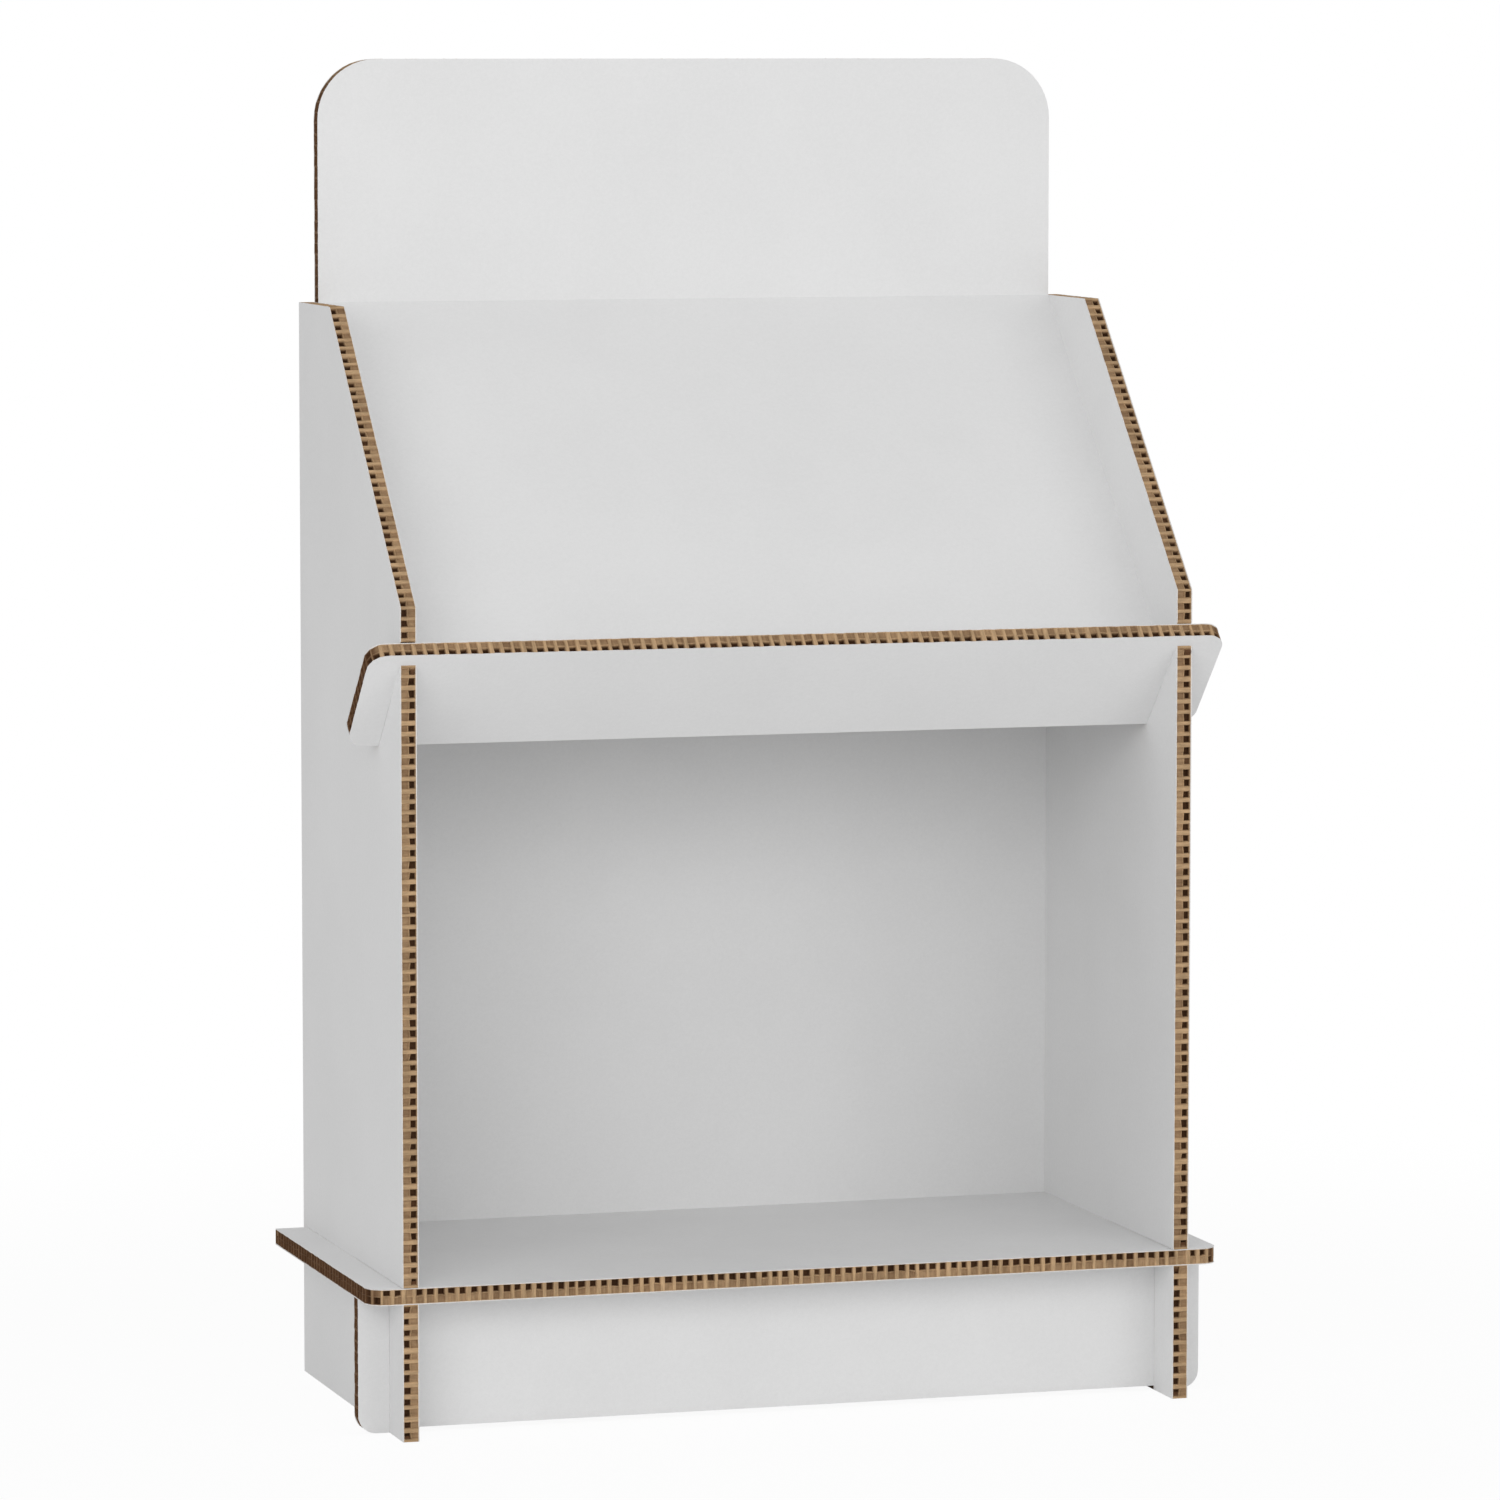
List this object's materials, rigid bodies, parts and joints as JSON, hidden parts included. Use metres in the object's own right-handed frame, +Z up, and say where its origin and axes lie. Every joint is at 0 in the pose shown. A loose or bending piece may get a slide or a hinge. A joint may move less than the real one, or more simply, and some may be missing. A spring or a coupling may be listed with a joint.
{
  "type": "cardboard display stand",
  "caption": "Floor-standing white board display with a sloping display panel and ledge, a shelf below, a plinth and a tall rounded header.",
  "frame": {"origin": "on the floor at the middle of the footprint of the two sides, 5 mm behind the centre of the overall box because the ledge stands 10 mm ahead of the sides", "axes": "+X across the stand to the viewer's right when facing it, +Y from front to rear, +Z up"},
  "size_m": [0.866, 0.41, 1.318],
  "materials": {
    "board": "matte"
  },
  "bodies": {
    "root": {"left_side": "board", "right_side": "board", "back_panel": "board", "display_panel": "board", "ledge": "board", "shelf": "board", "plinth": "board"}
  },
  "joints": []
}
